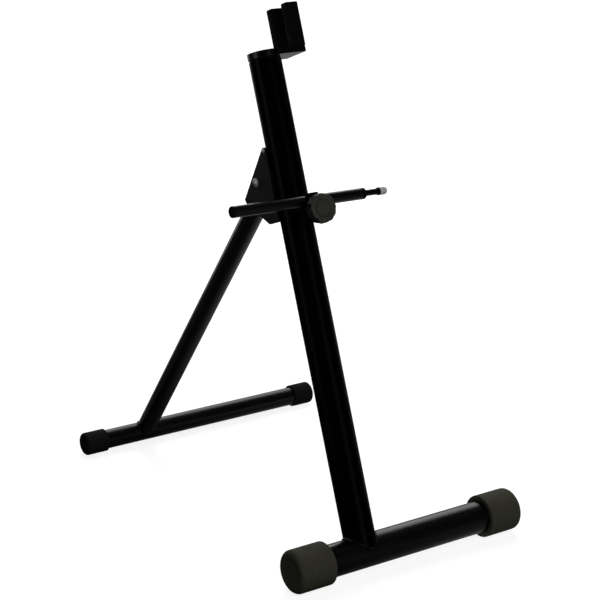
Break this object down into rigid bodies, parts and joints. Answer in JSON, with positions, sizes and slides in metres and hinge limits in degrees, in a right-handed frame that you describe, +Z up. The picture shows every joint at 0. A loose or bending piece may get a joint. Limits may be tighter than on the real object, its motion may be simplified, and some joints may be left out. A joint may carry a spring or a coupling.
{
  "type": "folding single-post stand",
  "caption": "Folding stand with a leaning post on a wide foot, a folding strut with its own foot, a knob-clamped sliding cross bar and a pronged head.",
  "frame": {"origin": "on the ground, at the middle of the bottom of the whole stand's box", "axes": "+X along the feet, to the side that the long halves of the feet reach; +Y from the front foot towards the rear foot; +Z up"},
  "size_m": [0.4471, 0.634, 0.7397],
  "materials": {
    "black_coat": "gloss",
    "front_rubber": "matte",
    "rear_rubber": "satin",
    "prong_rubber": "matte",
    "zinc_steel": "zinc plated",
    "rod_steel": "blackened steel",
    "spigot_metal": "satin",
    "black_plastic": "satin",
    "knob_plastic": "satin",
    "tip_plastic": "satin"
  },
  "bodies": {
    "frame": {"front_foot_tube": "black_coat", "front_cap_left": "front_rubber", "front_cap_right": "front_rubber", "post_tube": "black_coat", "post_weld": "black_coat", "head_spigot": "spigot_metal", "head_plate": "black_coat", "prong_core_front": "zinc_steel", "prong_core_rear": "zinc_steel", "prong_sleeve_front": "prong_rubber", "prong_sleeve_rear": "prong_rubber", "hinge_plate_left": "black_coat", "hinge_plate_right": "black_coat", "hinge_rivets": "zinc_steel", "stop_pin": "black_coat", "pivot_bolt": "zinc_steel", "pivot_washer": "zinc_steel", "pivot_nut": "zinc_steel", "clamp_saddle": "black_plastic", "clamp_jaw": "black_plastic", "clamp_washer": "zinc_steel", "clamp_insert": "zinc_steel"},
    "strut": {"strut_tube": "black_coat", "pivot_sleeve": "black_coat", "strut_plug": "black_plastic", "strut_weld": "black_coat", "rear_foot_tube": "black_coat", "rear_cap_left": "rear_rubber", "rear_cap_right": "rear_rubber"},
    "bar": {"cross_bar": "black_coat", "bar_plug": "black_plastic", "bar_bush": "black_plastic"},
    "rod": {"slide_rod": "rod_steel", "rod_stop": "rod_steel", "tip_collar": "black_plastic", "tip_cap": "tip_plastic"},
    "knob": {"knob_grip": "knob_plastic", "knob_cover": "knob_plastic", "knob_stud": "zinc_steel"}
  },
  "joints": [
    {"name": "strut_fold", "type": "hinge", "parent": "frame", "child": "strut", "pos_m": [-0.1, -0.06819, 0.50107], "axis": [-1, 0, 0], "range_deg": [0, 57]},
    {"name": "bar_slide", "type": "slide", "parent": "frame", "child": "bar", "axis": [0.9998, -0.006, -0.0164], "range_m": [-0.065, 0.09]},
    {"name": "rod_slide", "type": "slide", "parent": "bar", "child": "rod", "axis": [0.9998, -0.006, -0.0164], "range_m": [-0.02, 0.06]},
    {"name": "knob_turn", "type": "hinge", "parent": "frame", "child": "knob", "pos_m": [-0.1, -0.1852, 0.48513], "axis": [0, -0.9397, 0.342], "continuous": true}
  ]
}
